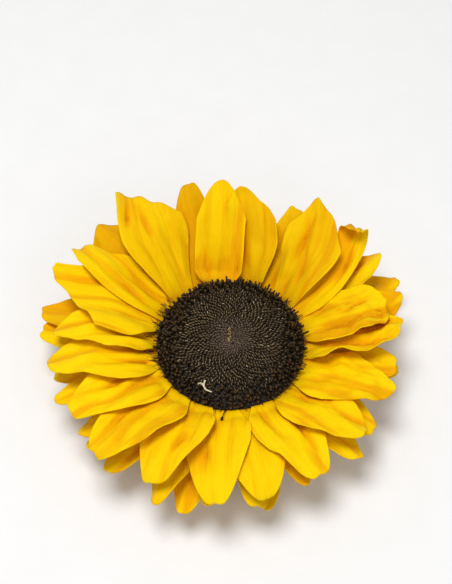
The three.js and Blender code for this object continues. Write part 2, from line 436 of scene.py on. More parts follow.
def bendBlank(blank, sheet, tone, tint=0.5):
    # a copy of the flat sheet, bent to its place
    # its points keep how far along the blade they lie and how much painted shade their folds and creases
    # give them
    blade = copyOf(blank, Matrix.Identity(4), tone)
    alongs, shades = [], []
    for vertex in blade.data.vertices:
        alongs.append(vertex.co.x + 0.5)
        point, shade = sheet(alongs[-1], 2 * vertex.co.y)
        vertex.co = point * mm
        shades.append(shade)
    for name, values in (("along", alongs), ("shade", shades), ("tint", [tint] * len(alongs))):
        blade.data.attributes.new(name, "FLOAT", "POINT").data.foreach_set("value", values)
    return blade


# Rays

rayPlan = {
    "rootRadius": 28,
    "claw": 0.48,
    "pleat": 0.35,
    "ruffle": 1.2,
    "waves": 1.6,
    "point": 0.56,
    "shift": 0,  # how far aside the tip lies
    "taper": 0,  # how much narrower it is at the tip
    "heel": 0,  # how far its edges start out from the root
    "notch": 0.03,
    "spread": 0.34,  # where along the limb reaches its full width
    "ahead": 1,  # how wide its anticlockwise side is, and the other
    "behind": 1,
    "thickness": 0.4,
    # the rest is finer than the solids
    "flickFrom": 0.86,
    "cup": 0,  # hollow near the root
    "lip": 0,  # upturned heel of the limb
    "veins": 0.16,
    "ridge": 0,  # even ridges that fan out from the root
}
tierPlans = {
    "front": {"rootHeight": 20.05, "lap": 1, "rows": 62, "columns": 40},
    "middle": {"rootHeight": 19.3, "lap": 0.6, "rows": 50, "columns": 30},
    "back": {"rootHeight": 18.5, "lap": 0.35, "rows": 40, "columns": 24},
}
topRayAngle = 102
lapRoll = 12
lapClimb = 3
leftward = 3

namedRayColumns = ("at", "skew", "sweep", "reach", "width", "rise", "fall", "tip", "fold")
namedRays = {
    "front": [
        (2, 1, 4, 47, 27, 34, -8, 25, 34),
        (18, -11, 4, 42, 25, 33, 8, -25, 14),
        (32, 9, 58, 57, 20, 27, 4, 10, 24),
        (46, 12, 34, 52.5, 28, 38, 10, 0, 8),
        (76, 8, 30, 48.5, 22, 37, 14, 15, 22),
        (102, -15, 4, 49.5, 21, 40, 14, 0, 12),
        (131, -13, -18, 55, 32, 36, 6, -10, 2),
        (147, 4, -34, 58, 25, 35, 3, -60, -12),
        (154, 19, 6, 56, 30, 35, -3, 12, 8),
        (170, 12, 22, 50, 26, 38, -6, 0, 8),
        (189, 2, 4, 52, 29, 40, -16, 4, 2),
    ],
    "middle": [
        (-12, 6, 4, 43, 26, 16, -2, 5, 8),
        (8, 14, 6, 51, 27, 17, -1, 0, -8),
        (33, -2, 6, 51, 26, 16, 7, 15, 30),
        (61, 6, 12, 47, 24, 24, 13, 0, 8),
        (88, -2, 4, 45, 20, 27, 8, 0, 6),
        (114, -16, 4, 54, 23, 20, 17, 0, 2),
        (143, -12, 6, 53, 25, 18, 9, 0, 8),
        (165, 6, 4, 55, 24, 17, -8, 6, 4),
        (184, -14, 6, 54, 26, 14, -5, 0, 6),
    ],
    "back": [],
}
drawnRays = {
    "front": {
        "seed": 393, "first": 207, "last": 338, "count": 8,
        "reach": (45, 51), "width": (27, 30), "rise": (39, 44), "fall": (-22, -13),
    },
    "middle": {
        "seed": 184, "first": 198, "last": 330, "count": 9,
        "reach": (45, 50), "width": (19, 22), "rise": (13, 17), "fall": (-9, -4),
    },
    "back": {
        "seed": 37, "first": 24, "last": 351, "count": 11,
        "reach": (43, 48), "width": (18, 21), "rise": (-1, 2), "fall": (-8, -1),
    },
}

# What sets single rays apart, by tier and place in the tier
flatEdges = {"curlAhead": 0, "curlBehind": 0}
# the tints here are painted shade as well as tone: higher for shaded far and side petals, near 0 for the
# brightly lit near ones
rayCharacter = {
    ("front", 0): dict(
        point=0.5, sharp=2, curlAhead=60, curlBehind=20, curlFrom=0.5, crumple=3, swell=1.5, tint=0.2,
        creases=[
            (0.5, 0.1, 0.05, 0.6, 4.6, 1.8), (-0.4, -0.2, 0.2, 0.7, 2.4, 1.2),
            (0.2, 0.4, 0.5, 0.9, 3, 1.2),
        ],
    ),
    ("front", 1): dict(
        point=0.24, sharp=2.8, claw=0.42, curlAhead=20, curlBehind=30, crumple=2.2, swell=1.6, tint=0.2,
        creases=[
            (0.6, 0.1, 0.1, 0.7, 2.2, 1.8), (-0.2, -0.5, 0.25, 0.8, 3, 1.6),
            (0.1, 0.5, 0.5, 0.95, 1.8, 1.2),
        ],
    ),
    ("front", 2): dict(
        point=0.1, sharp=2.6, taper=0.36, behind=0.65, roll=4, fold=8, flick=150, flickFrom=0.75,
        curlAhead=8, curlBehind=10, curlFrom=0.4, crumple=1.8, swell=1.4, tint=0.1,
        creases=[(0.4, -0.1, 0.1, 0.75, 1.1, 1), (-0.5, -0.2, 0.3, 0.9, 1, 0.9)],
    ),
    ("front", 3): dict(
        point=0.4, sharp=1.3, shift=0.1, notch=0, claw=0.42, spread=0.62, ahead=0.86, behind=1.04,
        curlAhead=0, curlBehind=15, crumple=1.2, swell=1.4, tint=0.8,
        creases=[
            (-0.2, 0.1, 0.2, 0.62, 1.8, 1.1), (0.45, 0.05, 0.3, 1, 2.2, 2.2),
            (0.1, 0.6, 0, 0.4, 1.2, 1.4),
        ],
    ),
    ("front", 4): dict(
        point=0.36, sharp=1.3, shift=0.3, notch=0, spread=0.5, curlAhead=20, curlBehind=10,
        curlFrom=0.45, crumple=0.6, swell=0.7, tint=0.9,
        creases=[(0.5, 0.3, 0.05, 0.9, 1.6, 1.3)],
    ),
    ("front", 5): dict(
        point=0.36, sharp=2, notch=0, claw=0.6, spread=0.2, heel=0.12, cup=24, lip=2, ridge=0.09,
        flick=8, twist=0, teeth=0.003, curlAhead=0, curlBehind=25, curlFrom=0.5, crumple=0.5, swell=1,
        tint=0.5,
        creases=[(-0.8, -0.5, 0.05, 0.55, 1.6, 1), (0.2, 0.75, 0, 0.5, 0.9, 1.2)],
    ),
    ("front", 6): dict(
        point=0.24, sharp=1.7, shift=0.75, taper=0.22, notch=0, claw=0.32, spread=0.66, flick=-10,
        teeth=0.012, curlAhead=35, curlBehind=0, curlFrom=0.6, crumple=0.8, swell=0.9, tint=0.6,
        creases=[
            (0.1, 0.3, 0.5, 1, 2.4, 1.4), (0.75, 0.5, 0.66, 1, 2.2, 1), (-0.5, -0.35, 0, 0.55, 1, 1.2),
        ],
    ),
    ("front", 7): dict(
        **flatEdges, point=0.5, sharp=1.3, shift=0.35, claw=0.66, ahead=0.64, flick=-50, crumple=0.8,
        tint=0.3,
        creases=[(-0.35, -0.15, 0, 0.7, 1.5, 1.5), (0.3, 0.25, 0.2, 0.8, 1, 1.3)],
    ),
    ("front", 8): dict(
        point=0.42, sharp=1.05, shift=-0.8, claw=0.3, ahead=1.05, flick=20, curlAhead=0, curlBehind=60,
        curlFrom=0.5, tint=0.2,
        creases=[(-0.5, -0.25, 0, 0.5, 2.2, 1.6), (0.35, 0.15, 0.1, 0.6, 1.4, 1.2)],
    ),
    ("front", 9): dict(
        **flatEdges, crumple=1.6, tint=0,
        creases=[(0.3, 0.2, 0, 0.5, 2.4, 1.3), (-0.2, -0.3, 0.1, 0.6, 1.8, 1.3)],
    ),
    ("front", 10): dict(
        **flatEdges, crumple=1.6, tint=0,
        creases=[(0.45, 0.2, 0, 0.5, 3.4, 1.2), (-0.3, -0.5, 0, 0.4, 2.6, 1.2)],
    ),
    ("front", 11): dict(lip=1.4, curlAhead=0, crumple=1.6, tint=0),
    ("front", 12): dict(lip=1.6, tint=0.1),
    ("front", 13): dict(lip=1.6, tint=0.1),
    ("front", 14): dict(lip=1.4, tint=0),
    ("front", 15): dict(lip=1.6, tint=0.1),
    ("front", 16): dict(lip=1.4, crumple=1.8, tint=0),
    ("front", 17): dict(curlBehind=0, crumple=2.2, tint=0.1),
    ("front", 18): dict(curlBehind=20, crumple=2.8, tint=0),
    ("middle", 0): dict(crumple=2.2, tint=0.2),
    ("middle", 1): dict(curlAhead=30, curlBehind=45, curlFrom=0.5, crumple=2.6),
    ("middle", 2): dict(sharp=1.5, curlAhead=40, curlBehind=30, curlFrom=0.6, crumple=2.8),
    ("middle", 3): dict(**flatEdges, notch=0.05, teeth=0.02, tint=0.9),
    ("middle", 5): dict(**flatEdges, point=0.5, sharp=1.7, flick=0, swell=0.8, tint=1.4),
    ("middle", 6): dict(**flatEdges, point=0.25, shift=0.1, notch=0, swell=0.7, tint=1.4),
    ("middle", 7): dict(curlAhead=0, curlBehind=30, tint=0.9),
    ("middle", 8): dict(**flatEdges, tint=0.1),
    ("back", 0): dict(skew=8, reach=56, width=22, crumple=2.4),
}


def lapping(at):
    # rays lie under one neighbour and over the other, down from the far ray to the near one
    turn = (at - topRayAngle) % 360
    fromTop = min(turn, 360 - turn)
    if fromTop < 13:
        return 0, lapClimb
    if fromTop > 174:
        return 0, -lapClimb
    return (lapRoll if turn < 180 else -lapRoll), 0


def planRays(tier):
    rays = []
    for i, row in enumerate(namedRays[tier]):
        ray = {**rayPlan, **tierPlans[tier], **dict(zip(namedRayColumns, row)), "phase": 2.4 * i}
        ray["roll"] = ray["lap"] * lapping(ray["at"])[0]
        rays.append(ray)
    plan = drawnRays[tier]
    draw = seeded(plan["seed"])
    for i in range(plan["count"]):
        at = mix(plan["first"], plan["last"], i / (plan["count"] - 1)) + draw(-2, 2)
        roll, extraClimb = lapping(at)
        ray = {**rayPlan, **tierPlans[tier], "at": at}
        ray["roll"] = ray["lap"] * roll
        ray["skew"] = draw(-4, 4)
        ray["sweep"] = draw(-10, 10)
        ray["reach"] = draw(*plan["reach"]) - leftward * math.cos(at * degree)
        ray["width"] = draw(*plan["width"])
        ray["rise"] = draw(*plan["rise"]) + extraClimb
        ray["fall"] = draw(*plan["fall"])
        ray["tip"] = draw(-12, 12)
        ray["fold"] = draw(-14, 17)
        ray["phase"] = draw(0, 6)
        rays.append(ray)
    return rays


def drawCreases(draw):
    # across at the start and the end, where it starts and ends along, depth and breadth
    creases = []
    for i in range(int(draw(1, 3.999))):
        start = draw(-0.65, 0.65)
        begin = draw(0, 0.45)
        end = begin + draw(0.3, 0.55)
        creases.append((start, start * draw(0.2, 1.1), begin, end, draw(0.6, 1.8), draw(1.0, 2.2)))
    return creases


def giveCharacter(rays, tier, draw):
    for i, ray in enumerate(rays):
        ray["crumple"] = draw(0.6, 1.5)
        ray["swell"] = draw(0.8, 1.4)  # soft lengthwise swells
        ray["flick"] = draw(-20, 25)  # last turn of the tip
        ray["twist"] = draw(-8, 8)
        ray["teeth"] = draw(0.004, 0.014)
        ray["sharp"] = draw(1.5, 2.3)  # the lower, the more pointed the tip
        ray["curlFrom"] = draw(0.45, 0.75)
        ray["curlAhead"] = max(0, draw(-60, 75))  # how far the anticlockwise edge rolls up
        ray["curlBehind"] = max(0, draw(-60, 75))
        ray["creases"] = drawCreases(draw)
        ray["tone"] = draw(0, 1)
        # tint turns a whole petal darker and golden: its own tone by default, and painted shade where
        # rayCharacter sets it
        ray["tint"] = ray["tone"] * 0.6
        ray.update(rayCharacter.get((tier, i), {}))


def crossSection(ray, share, across):
    # how far aside and up a point of the sheet lies, in half widths, and how the sheet slopes there
    fold = mix(8, ray["fold"], ease(0.05, 0.4, share)) + ray["cup"] * hump(0.03, 0.16, 0.5, share)
    curl = ray["curlAhead"] if across > 0 else ray["curlBehind"]
    curl = curl * ease(ray["curlFrom"], ray["curlFrom"] + 0.3, share)
    steps = 10
    side = lift = slope = 0
    for step in range(steps):
        here = across * (step + 0.5) / steps
        slope = fold * here + math.copysign(curl * ease(0.35, 1, abs(here)), across)
        side += math.cos(slope * degree) * abs(across) / steps
        lift += math.sin(slope * degree) * abs(across) / steps * math.copysign(1, across)
    return math.copysign(side, across), lift, slope * degree


def creaseDepth(ray, share, across, half):
    # how deep the ray's creases are at a point: each is a narrow valley that fades at its ends
    depth = 0
    for first, last, begin, end, full, breadth in ray["creases"]:
        if begin < share < end:
            line = mix(first, last, (share - begin) / (end - begin))
            fade = hump(begin, mix(begin, end, 0.4), end, share)
            depth += full * fade * math.exp(-abs(across - line) * half / breadth)
    return depth


def fineRelief(ray, share, across, half):
    # the swells, veins, ridges and crumples that the solids leave out, and how shaded they leave a point
    seed = ray["tone"] * 10 + ray["phase"]
    wander = noise.noise(Vector((2.5 * share, seed, 7)))
    swell = noise.noise(Vector((across * half / 4.6 + 0.8 * wander, 0.9 * share, seed)))
    vein = noise.noise(Vector((across * half / 1.3 + wander, 1.2 * share, seed + 5)))
    broad = noise.noise(Vector((across * half / 7, 4 * share, seed + 9)))
    small = noise.noise(Vector((across * half / 3, 11 * share, seed + 13)))
    crease = creaseDepth(ray, share, across, half)
    inward = ease(0.02, 0.25, share)
    relief = ray["swell"] * swell * inward
    relief += ray["veins"] * vein * inward
    relief += ray["ridge"] * math.cos(2 * math.pi * 4.5 * across + 1.5 * wander) * inward
    relief += ray["crumple"] * (broad * ease(0.1, 0.45, share) + 0.4 * small * ease(0.2, 0.6, share))
    relief -= crease
    relief += ray["lip"] * hump(0.03, 0.1, 0.2, share)
    shade = 0.42 * crease + 0.9 * max(0, -swell) * ray["swell"] + 0.5 * max(0, -vein)
    shade += 0.3 * ray["crumple"] * max(0, -broad)
    shade += 0.25 * ray["lip"] * hump(0.14, 0.22, 0.36, share)
    return relief, min(0.66, shade)


def raySheet(ray):
    path = Midline(ray)

    def sheet(along, across):
        edge = abs(across)
        off = abs(across - ray["shift"]) / (1 + abs(ray["shift"]))
        end = 1 - ray["point"] * off ** ray["sharp"] - ray["notch"] * max(0, 1 - 4 * off)
        end -= ray["teeth"] * (1 + math.cos(9 * across + ray["phase"]))
        share = mix(ray["heel"] * edge**2, end, along)
        half = ray["width"] / 2 * mix(ray["claw"], 1, ease(0, ray["spread"], share))
        half *= 1 - ray["taper"] * ease(0.5, 1, share)
        half *= ray["ahead"] if across > 0 else ray["behind"]
        side, lift, slope = crossSection(ray, share, across)
        pleat = ray["pleat"] * math.cos(3 * math.pi * across) * ease(0.05, 0.3, share)
        turn = 2 * math.pi * ray["waves"] * share + ray["phase"]
        wave = math.sin(turn + 1.7 * math.copysign(1, across))
        ruffle = ray["ruffle"] * edge**2 * wave * ease(0.2, 0.6, share)
        relief, shade = fineRelief(ray, share, across, half)
        relief += pleat + ruffle
        aside = half * side - relief * math.sin(slope)
        return path.place(share, aside, half * lift + relief * math.cos(slope)), shade

    return sheet


petalLook = {
    "yellow": (0.97, 0.6, 0.001),
    "golden": (0.71, 0.37, 0.001),
    # orange is the veins' own colour, and also painted shade in folds
    "orange": (0.74, 0.26, 0.001),
    # painted shade: brown-orange for the darkest creases and covered crevices
    "paintedCreviceShade": (0.4, 0.12, 0.003),
    # root: the base's own orange, deepened as painted shade by the disc
    "root": (0.78, 0.31, 0.002),
    "lemon": (0.97, 0.65, 0.004),
    "under": (0.84, 0.46, 0.004),
}


def petalFinish(name, under):
    finish = Finish(name, **{"Subsurface Weight": 0.12, "Subsurface Scale": 0.002})
    finish.shader.inputs["Subsurface Radius"].default_value = (1, 0.45, 0.02)
    finish.shader.inputs["Specular IOR Level"].default_value = 0.2
    finish.shader.inputs["Specular Tint"].default_value = (1, 0.7, 0.08, 1)
    along, across = finish.sheetPlace()
    tone = finish.attribute("tone")
    tint = finish.attribute("tint")
    shade = finish.attribute("shade")
    strands = finish.noise(finish.vector(along * 2.5, across * 26, tone * 40), 1.0, 3.0, 0.6)
    clouds = finish.noise(finish.vector(along * 3, across * 3, tone * 23), 1.0)
    offMiddle = across - 0.5
    # painted highlight: lighter lemon near the edges, for the light their thin rims catch
    paintedRimHighlight = (offMiddle * offMiddle * 4).between(0.82, 1)
    colour = petalLook["under" if under else "yellow"]
    for coat, share in (
        # golden: painted shade by each petal's tint, with random clouds of the petal's own deeper tone;
        # the tint also holds back the lemon and deepens the veins
        ("golden", tint * 0.7 + clouds.between(0.35, 0.7) * (0.08 + 0.3 * tint)),
        ("lemon", along.between(0.3, 1) * (1 - tint * 0.6) * 0.6),
        ("orange", strands.between(0.5, 0.8) * (0.22 + 0.25 * tint)),
        # painted shade: orange in folds, creases and covered crevices
        ("orange", shade.between(0.1, 0.9) * 0.75),
        # painted highlight along the edges
        ("lemon", paintedRimHighlight * along.between(0.2, 0.5) * 0.5),
        # darker orange at the root: partly the petal's own colour and partly painted shade where it goes
        # in under the disc
        ("root", (1 - along.between(0.02, 0.24)) * (0.4 + 0.5 * clouds)),
        # painted shade, brown-orange where creases and covering petals shade a point most
        ("paintedCreviceShade", shade.between(0.66, 1.05) * 0.75),
    ):
        colour = finish.blend(colour, petalLook[coat], share)
    height = strands * 0.5 + finish.noise(finish.vector(along * 9, across * 70, tone * 40), 1.0) * 0.5
    rough = 0.5 + 0.16 * clouds
    finish.feed(Base_Color=colour, Roughness=rough, Normal=finish.bump(height, 0.0003, 0.8))
    return finish.material


def turnFromTop(ray):
    turn = (ray["at"] - topRayAngle) % 360
    return min(turn, 360 - turn)


contactPlan = {
    "gap": 0.5,  # between a petal and the one it lies on
    "reach": 2.0,  # from how far off it starts to lift
    "most": 9,  # what is higher over it than this is not under it
    "neighbours": 62,  # degrees to either side
}
crevicePlan = {"start": 0.4, "reach": 4, "full": 0.7, "curve": 1.3, "turns": (0, 1.26, 2.51, 3.77, 5.03)}


def restOn(blade, under):
    # lifts a blade softly wherever it would sink through those that lie under it
    gap, reach, most = (contactPlan[name] for name in ("gap", "reach", "most"))
    down = Vector((0, 0, -1))
    rows = blade.data.attributes["along"].data
    for vertex, row in zip(blade.data.vertices, rows):
        above = Vector((vertex.co.x, vertex.co.y, 0.1))
        sink = -reach
        for tree in under:
            hit = tree.ray_cast(above, down)[0]
            if hit and (hit.z - vertex.co.z) / mm < most:
                sink = max(sink, (hit.z - vertex.co.z) / mm + gap)
        lift = sink if sink > reach else (sink + reach) ** 2 / (4 * reach)
        vertex.co.z += lift * ease(0.1, 0.28, row.value) * mm


def layPetals(tiers):
    # from the lowest tier up, and within a tier from the near ray up both sides to the far one
    laid = []
    for tier in ("back", "middle", "front"):
        for ray in sorted(tiers[tier], key=turnFromTop, reverse=True):
            heading = ray["at"] + ray["skew"]
            aside = contactPlan["neighbours"]
            under = [tree for other, tree in laid if abs((other - heading + 180) % 360 - 180) < aside]
            restOn(ray["blade"], under)
            laid.append((heading, BVHTree.FromPolygons(*bareMesh(ray["blade"].data))))


def bareMesh(mesh):
    points = [vertex.co.copy() for vertex in mesh.vertices]
    return points, [tuple(face.vertices) for face in mesh.polygons]


def shadeCrevices(blades):
    # deepens the shade of each point by how much of what is over it other petals or its own folds cover
    points, faces = [], []
    for blade in blades:
        ownPoints, ownFaces = bareMesh(blade.data)
        faces += [tuple(index + len(points) for index in face) for face in ownFaces]
        points += ownPoints
    tree = BVHTree.FromPolygons(points, faces)
    turns = [(math.cos(turn), math.sin(turn)) for turn in crevicePlan["turns"]]
    reach = crevicePlan["reach"] * mm
    for blade in blades:
        blade.data.update()
        for vertex, shade in zip(blade.data.vertices, blade.data.attributes["shade"].data):
            up = vertex.normal
            aside = up.orthogonal()
            onward = up.cross(aside)
            slants = [up] + [0.7 * up + aside * cosine + onward * sine for cosine, sine in turns]
            start = vertex.co + up * crevicePlan["start"] * mm
            hits = sum(1 for slant in slants if tree.ray_cast(start, slant, reach)[0])
            covered = (hits / len(slants)) ** crevicePlan["curve"]
            shade.value = min(1, shade.value + crevicePlan["full"] * covered)


def makePetals():
    face = petalFinish("petalFace", False)
    back = petalFinish("petalBack", True)
    draw = seeded(101)
    tiers = {}
    for tier in ("front", "middle", "back"):
        tiers[tier] = planRays(tier)
        giveCharacter(tiers[tier], tier, draw)
        blank = makeBlank("petal_blank", tierPlans[tier]["rows"], tierPlans[tier]["columns"])
        for ray in tiers[tier]:
            ray["blade"] = bendBlank(blank, raySheet(ray), ray["tone"], ray["tint"])
        discard(blank)
    layPetals(tiers)
    shadeCrevices([ray["blade"] for rays in tiers.values() for ray in rays])
    for tier, rays in tiers.items():
        petals = joinAs("petals_" + tier, [ray["blade"] for ray in rays])
        petals.data.materials.append(face)
        petals.data.materials.append(back)
        modify(
            petals, "SOLIDIFY", thickness=rayPlan["thickness"] * mm, offset=0,
            material_offset=1, material_offset_rim=0, use_quality_normals=True,
        )
        smooth(petals)
        handIn(petals, "ray_petals")
        print("petals of the", tier, "tier:", len(rays))


makePetals()

# Disc

discPlan = {
    "count": 1640,
    "spread": 29.8,
    "crowding": 0.54,  # 0.5 spreads the florets evenly, more draws them to the middle
    "closedTo": 19.0,  # all are closed within this radius
    "openFrom": 27.0,  # and all open beyond this one
    "stray": 0.2,  # how far each stands off its spiral
    "crown": 29,
    "edge": 24,
    "tuft": (-0.5, 0.6),  # where the tuft of the youngest stands
    "pit": (1.0, -3.0),  # where a floret is missing
    "leanFrom": 24,  # the open ones lean out from here on
    "stigmas": 330,
    # name, length and bow of the pale folds
    "folds": (("fold_a", 1.9, 0), ("fold_b", 1.5, 0.2), ("fold_c", 1.2, -0.25)),
    # name, height and flare of the open florets
    "anthers": (("anther_a", 1.3, 1.3), ("anther_b", 0.7, 1.6), ("anther_c", 2.0, 1.1)),
}


def domeHeight(radius):
    share = min(1, radius / discRadius)
    dip = 0.9 * math.exp(-((radius / 5) ** 2))
    return discPlan["crown"] - dip - (discPlan["crown"] - discPlan["edge"]) * share**4


def domeSlope(radius):
    return math.atan(domeHeight(radius + 0.5) - domeHeight(radius - 0.5))


def onDome(x, y, above):
    return (x, y, domeHeight(math.hypot(x, y)) + above)


def discMatrix(radius, angle, lean, spin, size, sink=0.0):
    # stands a floret on the dome, leaning outwards
    outward = Matrix.Rotation(angle, 4, "Z")
    tip = Matrix.Rotation(lean - domeSlope(radius) * 0.6, 4, "Y")
    place = Matrix.Translation(Vector((radius, 0, domeHeight(radius) - sink)) * mm)
    return outward @ place @ tip @ Matrix.Rotation(spin, 4, "Z") @ Matrix.Diagonal((*size, 1))


def floretFinish(name, low, high, tip, rough, bright=None):
    # dark at the foot, partly their own colour and partly painted shade deep between the florets, with
    # its own colour above and another at the tip, and greyer near the middle
    finish = Finish(name, **{"Specular IOR Level": 0.25})
    tone = finish.attribute("tone")
    level = finish.attribute("level")
    grit = finish.noise(finish.objectPlace(), 2600)
    patches = finish.noise(finish.objectPlace(), 160)
    # the dark foot is partly painted shade deep between the florets
    colour = finish.blend(low, high, level.between(0.25, 0.85))
    tipped = level.between(0.72, 0.98) * (0.25 + 0.75 * tone) * patches.between(0.25, 0.6)
    colour = finish.blend(colour, tip, tipped)
    if bright:
        colour = finish.blend(colour, bright, level.between(0.75, 0.95) * tone.between(0.93, 1))
        radius = finish.axisDistance()
        colour = finish.blend(colour, low, radius.between(0.016, 0.027) * 0.5)
        colour = finish.blend(colour, discLook["middle"], (1 - radius.between(0.002, 0.013)) * 0.75)
    colour = finish.blend(colour, low, grit.between(0.5, 0.8) * 0.4)
    finish.feed(Base_Color=colour, Roughness=rough, Normal=finish.bump(grit, 0.0001, 0.5))
    return finish.material


def setLevel(obj, bottom, top):
    # how high on the floret each point is, from 0 to 1, in its own attribute
    attribute = obj.data.attributes.new("level", "FLOAT", "POINT")
    span = top - bottom
    attribute.data.foreach_set("value", [(v.co.z / mm - bottom) / span for v in obj.data.vertices])


def makeBud():
    # the mouth of a closed floret: six-sided, with a rim round a pit
    bpy.ops.mesh.primitive_cylinder_add(
        vertices=6, radius=0.62 * mm, depth=1.6 * mm, location=(0, 0, 0.1 * mm)
    )
    bud = bpy.context.object
    bud.name = "bud"
    applyPlace(bud)
    selectFaces(bud.data, lambda face: face.normal.z > 0.9)
    bpy.ops.object.mode_set(mode="EDIT")
    bpy.ops.mesh.inset(thickness=0.16 * mm, depth=0.2 * mm)
    bpy.ops.mesh.inset(thickness=0.16 * mm, depth=-0.6 * mm)
    bpy.ops.object.mode_set(mode="OBJECT")
    setLevel(bud, -0.3, 2.2)
    return bud


def makeFold(name, length, bow):
    # the pale upright fold beside a closed floret: a short thin blade with a rounded crest
    bpy.ops.mesh.primitive_cube_add(size=1)
    fold = bpy.context.object
    fold.name = name
    bpy.ops.object.mode_set(mode="EDIT")
    bpy.ops.mesh.subdivide(number_cuts=2)
    bpy.ops.object.mode_set(mode="OBJECT")
    for vertex in fold.data.vertices:
        along, across, height = 2 * vertex.co.x, vertex.co.y, vertex.co.z + 0.5
        point = Vector((length / 2 * along * (1 - 0.1 * height), 0, -0.6 + 2.0 * height))
        point.y = across * 0.46 * (1 - 0.35 * height) * (1 - 0.4 * along**2) + bow * along**2
        point.z -= 0.3 * along**2 * height
        vertex.co = point * mm
    setLevel(fold, -0.6, 1.4)
    return fold


def makeAnther(name, height, flare):
    # an open floret: its tube with its flared mouth and the blunt column of its anthers
    bpy.ops.mesh.primitive_cylinder_add(vertices=6, radius=0.5 * mm, depth=1.6 * mm, location=(0, 0, 0))
    floret = bpy.context.object
    floret.name = name
    selectFaces(floret.data, lambda face: face.normal.z > 0.9)
    bpy.ops.object.mode_set(mode="EDIT")
    for rise, grow in ((0.35, flare), (-0.15, 0.6), (height, 1.15), (0.3, 0.55)):
        bpy.ops.mesh.extrude_region_move(TRANSFORM_OT_translate={"value": (0, 0, rise * mm)})
        bpy.ops.transform.resize(value=(grow, grow, 1))
    bpy.ops.object.mode_set(mode="OBJECT")
    setLevel(floret, -0.8, 1.3 + height)
    return floret


def makeDiscCore():
    # the dome under the florets, down to its seat
    bpy.ops.mesh.primitive_uv_sphere_add(segments=96, ring_count=48, radius=1)
    core = bpy.context.object
    core.name = "disc_core"
    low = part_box("disc_florets")[0].z / mm
    for vertex in core.data.vertices:
        flat = math.hypot(vertex.co.x, vertex.co.y)
        radius = flat * (discRadius - 0.4)
        if vertex.co.z >= 0:
            height = domeHeight(radius) - 0.5
        else:
            height = mix(domeHeight(discRadius) - 0.5, low, min(1, -6 * vertex.co.z))
            radius = flat * (discRadius - 0.4) if vertex.co.z > -0.2 else flat * (discRadius - 2)
        turn = math.atan2(vertex.co.y, vertex.co.x)
        vertex.co = Vector((radius * math.cos(turn), radius * math.sin(turn), height)) * mm
    setTone(core.data, 0.5)
    setLevel(core, 20, 40)
    return core


def makeScraps():
    # the torn cream scrap near the rim
    x, y = -10.6, -22.6
    trunk = [(-2.3, 0.9), (-1.1, 1.2), (-0.2, 0.6), (0.2, -0.7), (0.7, -1.7), (1.9, -2.0), (3.2, -2.5)]
    branch = [(0.5, 2.2), (0.2, 1.5), (-0.1, 0.8), (0.0, 0.1), (0.2, -0.6)]
    scraps = [
        makeStrand("scrap", [onDome(x + dx, y + dy, 2.1) for dx, dy in line], thickness)
        for line, thickness in ((trunk, 0.9), (branch, 0.75))
    ]
    for scrap in scraps:
        setTone(scrap.data, 0.7)
        setLevel(scrap, 19, 29)
    return scraps


def makeStray():
    # the floret that has come loose at the near rim and lies out over a petal by its stalk
    line = [
        (-1.6, -29.8, 25.0), (-1.7, -31.5, 26.2), (-2.1, -33.2, 26.9),
        (-2.8, -34.8, 27.2), (-3.2, -36.2, 27.0),
    ]
    stalk = makeStrand("stray", line, 0.6)
    end = Vector(line[-1]) * mm
    bpy.ops.mesh.primitive_ico_sphere_add(subdivisions=2, radius=0.75 * mm, location=end)
    head = bpy.context.object
    head.scale = (0.75, 1.3, 0.8)
    head.rotation_euler = (0.3, 0, -0.4)
    applyPlace(head)
    stray = joinAs("stray", [stalk, head])
    setTone(stray.data, 0.3)
    setLevel(stray, 24, 31)
    return stray


def makeTuft(fold):
    # a few pale young florets that stand up in the middle
    draw = seeded(17)
    x, y = discPlan["tuft"]
    tuft = []
    for i in range(12):
        px, py = x + draw(-0.45, 0.45), y + mix(-3.4, 3.6, i / 11) + draw(-0.3, 0.3)
        size = (draw(0.5, 0.8), draw(0.7, 1.0), draw(1.1, 1.6))
        matrix = discMatrix(math.hypot(px, py), math.atan2(py, px), draw(-0.2, 0.2), draw(0, 3), size)
        tuft.append(copyOf(fold, matrix, draw(0.3, 1)))
    return tuft


# name, thickness and the points that each curled arm of a stigma passes
stigmaArms = [
    ("stigma_a", 0.3, [(0, 0, 0), (0, 0, 1.0), (0.2, 0, 1.9), (0.9, 0.1, 2.3), (1.5, 0.2, 1.9)]),
    ("stigma_b", 0.28, [(0, 0, 0), (0, 0, 0.9), (-0.3, 0, 1.7), (-0.1, 0.4, 2.4), (0.6, 0.5, 2.2)]),
    ("stigma_c", 0.34, [(0, 0, 0), (0.2, 0, 1.2), (0.7, 0.2, 2.2), (1.6, 0.3, 2.9), (2.6, 0.2, 2.9)]),
]


def makeStigmas():
    # dark among the open florets and orange where they hang over the rim
    arms = [makeStrand(name, points, thickness) for name, thickness, points in stigmaArms]
    for arm in arms:
        setLevel(arm, 0, 2.6)
    draw = seeded(29)
    inner, outer = [], []
    for i in range(discPlan["stigmas"]):
        angle = draw(0, 2 * math.pi)
        arm = arms[int(draw(0, 2.999))]
        if i % 5 < 2:
            # more of them hang out on the left, where the petals stand apart
            radius, lean, size = draw(29.9, 31.2), draw(0.5, 1.3), draw(0.7, 1.2)
            if draw(0, 1) > 0.5:
                angle = math.pi + draw(-0.75, 0.7)
                radius += draw(0, 2.6)
            place = discMatrix(radius, angle, lean, draw(-1, 1), (size,) * 3, 0.4)
            outer.append(copyOf(arm, place, draw(0, 1)))
        else:
            radius, lean, size = draw(22, 30), draw(-0.3, 0.6), draw(0.6, 1.0)
            place = discMatrix(radius, angle, lean, draw(0, 6), (size,) * 3, 0.2)
            inner.append(copyOf(arm, place, draw(0, 1)))
    discard(*arms)
    return inner, outer


